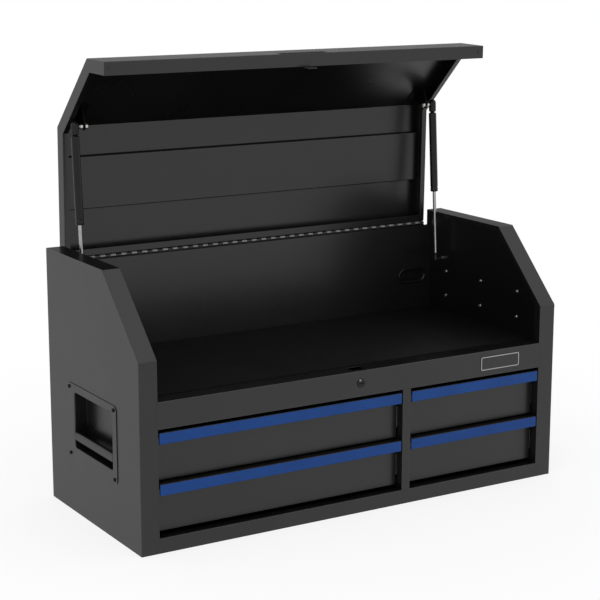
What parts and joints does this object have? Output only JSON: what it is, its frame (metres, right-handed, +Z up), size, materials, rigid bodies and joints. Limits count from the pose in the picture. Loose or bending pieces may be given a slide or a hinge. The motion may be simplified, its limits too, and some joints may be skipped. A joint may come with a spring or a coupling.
{
  "type": "tool chest",
  "caption": "Sheet-steel tool chest: hinged lid on gas struts over an open till, side handles, and drawers with coloured full-width pulls on ball-bearing slides.",
  "frame": {"origin": "centre of the cabinet's flat base", "axes": "+X to the right seen from the front, +Y from the drawers to the back, +Z up"},
  "size_m": [1.0486, 0.479, 0.9677],
  "materials": {
    "body_black": "satin black powder coat",
    "inner_black": "satin black powder coat, inside",
    "drawer_black": "satin black powder coat",
    "trim_blue": "satin blue strip",
    "handle_black": "fine-textured black moulding",
    "screw_black": "black oxide",
    "screw_zinc": "zinc plated",
    "mat_black": "ribbed foam rubber",
    "rubber_black": "matt rubber",
    "badge_dark": "dark plate with a light border",
    "hinge_steel": "darkened steel",
    "lock_chrome": "dark nickel",
    "slide_steel": "zinc plated",
    "strut_black": "black lacquer",
    "rod_chrome": "bright hard chrome",
    "socket_black": "black moulding"
  },
  "bodies": {
    "chest": {"back_panel": "body_black", "badge_plate": "badge_dark", "bottom_panel": "body_black", "bottom_rail": "body_black", "cable_grommet": "rubber_black", "centre_post": "body_black", "handle_cup_left": "handle_black", "handle_cup_right": "handle_black", "handle_grips": "handle_black", "handle_screws": "screw_black", "hinge_leaf_body": "hinge_steel", "hinge_pin": "hinge_steel", "liner_screws": "screw_zinc", "lock_body": "lock_chrome", "lock_nut": "screw_zinc", "partition": "inner_black", "side_liner_left": "inner_black", "side_liner_right": "inner_black", "side_panel_left": "body_black", "side_panel_right": "body_black", "slide_outer_members": "slide_steel", "slide_uprights": "inner_black", "strut_lower_studs": "screw_zinc", "till_floor": "inner_black", "till_mat": "mat_black", "top_rail": "body_black"},
    "lid": {"lid_shell": "body_black", "lid_stiffener": "body_black", "hinge_leaf_lid": "hinge_steel", "strut_brackets": "body_black", "lid_catch": "screw_zinc", "lid_bumpers": "rubber_black"},
    "lock": {"lock_plug": "lock_chrome", "lock_cam": "screw_zinc"},
    "strut_tube_left": {"strut_tube_left": "strut_black", "strut_upper_socket_left": "socket_black"},
    "strut_rod_left": {"strut_rod_left": "rod_chrome", "strut_lower_socket_left": "socket_black"},
    "strut_tube_right": {"strut_tube_right": "strut_black", "strut_upper_socket_right": "socket_black"},
    "strut_rod_right": {"strut_rod_right": "rod_chrome", "strut_lower_socket_right": "socket_black"},
    "drawer_left_lower": {"drawer_box_left_lower": "drawer_black", "drawer_trim_left_lower": "trim_blue", "slide_inner_left_lower": "slide_steel"},
    "slide_left_lower": {"slide_middle_left_lower": "slide_steel"},
    "drawer_left_upper": {"drawer_box_left_upper": "drawer_black", "drawer_trim_left_upper": "trim_blue", "slide_inner_left_upper": "slide_steel"},
    "slide_left_upper": {"slide_middle_left_upper": "slide_steel"},
    "drawer_right_lower": {"drawer_box_right_lower": "drawer_black", "drawer_trim_right_lower": "trim_blue", "slide_inner_right_lower": "slide_steel"},
    "slide_right_lower": {"slide_middle_right_lower": "slide_steel"},
    "drawer_right_upper": {"drawer_box_right_upper": "drawer_black", "drawer_trim_right_upper": "trim_blue", "slide_inner_right_upper": "slide_steel"},
    "slide_right_upper": {"slide_middle_right_upper": "slide_steel"}
  },
  "joints": [
    {"name": "lid_hinge", "type": "hinge", "parent": "chest", "child": "lid", "pos_m": [0, 0.223, 0.526], "axis": [1, 0, 0], "range_deg": [0, 89]},
    {"name": "lock_turn", "type": "hinge", "parent": "chest", "child": "lock", "pos_m": [0, -0.221, 0.288], "axis": [0, 1, 0], "range_deg": [0, 90]},
    {"name": "strut_left_swing", "type": "hinge", "parent": "lid", "child": "strut_tube_left", "pos_m": [-0.4628, 0.1839, 0.81786], "axis": [1, 0, 0], "range_deg": [-6.29, 0]},
    {"name": "strut_left_stroke", "type": "slide", "parent": "strut_tube_left", "child": "strut_rod_left", "axis": [0, 0.0697, 0.9976], "range_m": [0, 0.1409]},
    {"name": "strut_right_swing", "type": "hinge", "parent": "lid", "child": "strut_tube_right", "pos_m": [0.4628, 0.1839, 0.81786], "axis": [1, 0, 0], "range_deg": [-6.29, 0]},
    {"name": "strut_right_stroke", "type": "slide", "parent": "strut_tube_right", "child": "strut_rod_right", "axis": [0, 0.0697, 0.9976], "range_m": [0, 0.1409]},
    {"name": "drawer_left_lower_pull", "type": "slide", "parent": "chest", "child": "drawer_left_lower", "axis": [0, -1, 0], "range_m": [0, 0.38]},
    {"name": "slide_left_lower_run", "type": "slide", "parent": "chest", "child": "slide_left_lower", "axis": [0, -1, 0], "range_m": [0, 0.191]},
    {"name": "drawer_left_upper_pull", "type": "slide", "parent": "chest", "child": "drawer_left_upper", "axis": [0, -1, 0], "range_m": [0, 0.38]},
    {"name": "slide_left_upper_run", "type": "slide", "parent": "chest", "child": "slide_left_upper", "axis": [0, -1, 0], "range_m": [0, 0.191]},
    {"name": "drawer_right_lower_pull", "type": "slide", "parent": "chest", "child": "drawer_right_lower", "axis": [0, -1, 0], "range_m": [0, 0.38]},
    {"name": "slide_right_lower_run", "type": "slide", "parent": "chest", "child": "slide_right_lower", "axis": [0, -1, 0], "range_m": [0, 0.191]},
    {"name": "drawer_right_upper_pull", "type": "slide", "parent": "chest", "child": "drawer_right_upper", "axis": [0, -1, 0], "range_m": [0, 0.38]},
    {"name": "slide_right_upper_run", "type": "slide", "parent": "chest", "child": "slide_right_upper", "axis": [0, -1, 0], "range_m": [0, 0.191]}
  ],
  "couplings": [
    {"joint": "strut_left_swing", "follows": "lid_hinge", "ratio": -0.069594},
    {"joint": "strut_left_stroke", "follows": "lid_hinge", "m_per_rad": 0.090036},
    {"joint": "strut_right_swing", "follows": "lid_hinge", "ratio": -0.069594},
    {"joint": "strut_right_stroke", "follows": "lid_hinge", "m_per_rad": 0.090036},
    {"joint": "slide_left_lower_run", "follows": "drawer_left_lower_pull", "ratio": 0.5},
    {"joint": "slide_left_upper_run", "follows": "drawer_left_upper_pull", "ratio": 0.5},
    {"joint": "slide_right_lower_run", "follows": "drawer_right_lower_pull", "ratio": 0.5},
    {"joint": "slide_right_upper_run", "follows": "drawer_right_upper_pull", "ratio": 0.5}
  ]
}
